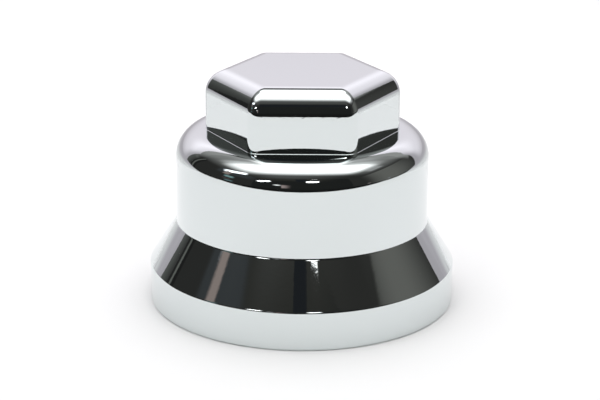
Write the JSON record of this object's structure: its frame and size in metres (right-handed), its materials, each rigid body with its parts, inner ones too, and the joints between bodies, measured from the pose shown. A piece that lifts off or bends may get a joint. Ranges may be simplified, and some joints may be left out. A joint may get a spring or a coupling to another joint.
{
  "type": "lug nut cap",
  "caption": "Chrome-plated push-on cap for a truck wheel nut: flanged foot, flared skirt, round body with a rounded shoulder, and a hexagonal head.",
  "frame": {"origin": "centre of the rim, in the plane that rests on the wheel's face", "axes": "+Z along the nut's axis, towards the hexagonal head; one flat of the head faces -Y"},
  "size_m": [0.054, 0.054, 0.0415],
  "materials": {
    "chrome_plating": "bright mirror chrome plating on moulded plastic"
  },
  "bodies": {
    "root": {"nut_cap": "chrome_plating"}
  },
  "joints": []
}
